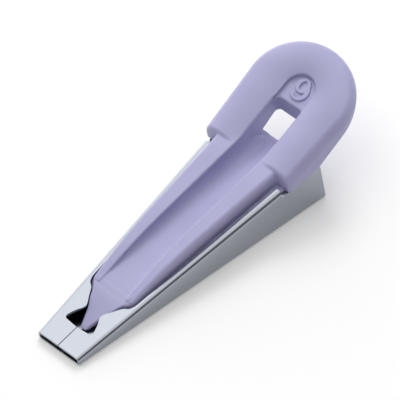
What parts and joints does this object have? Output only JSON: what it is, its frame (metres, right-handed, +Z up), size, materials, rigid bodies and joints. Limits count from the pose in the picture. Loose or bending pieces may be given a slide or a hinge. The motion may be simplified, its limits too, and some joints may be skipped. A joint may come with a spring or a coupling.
{
  "type": "bias tape maker",
  "caption": "Folding funnel for narrow fabric strips: a tapering folded sheet body with a notched mouth and a plastic guide with channel, tongue and pull head, which slides in from the rear.",
  "frame": {"origin": "bottom centre of the whole tool's box: on the floor of the sheet body, midway along the tool and across it", "axes": "+Y from the tape mouth to the pull head, +Z up from the flat floor of the sheet body, +X across, to the right of someone who looks along +Y"},
  "size_m": [0.023, 0.0706, 0.0181],
  "materials": {
    "plated_sheet": "bright nickel plating, slightly satin",
    "lavender_plastic": "satin moulded"
  },
  "bodies": {
    "body": {"sheet_body": "plated_sheet"},
    "guide": {"tape_guide": "lavender_plastic"}
  },
  "joints": [
    {"name": "guide_slide", "type": "slide", "parent": "body", "child": "guide", "axis": [0, 0.9903, 0.1392], "range_m": [0, 0.034]}
  ]
}
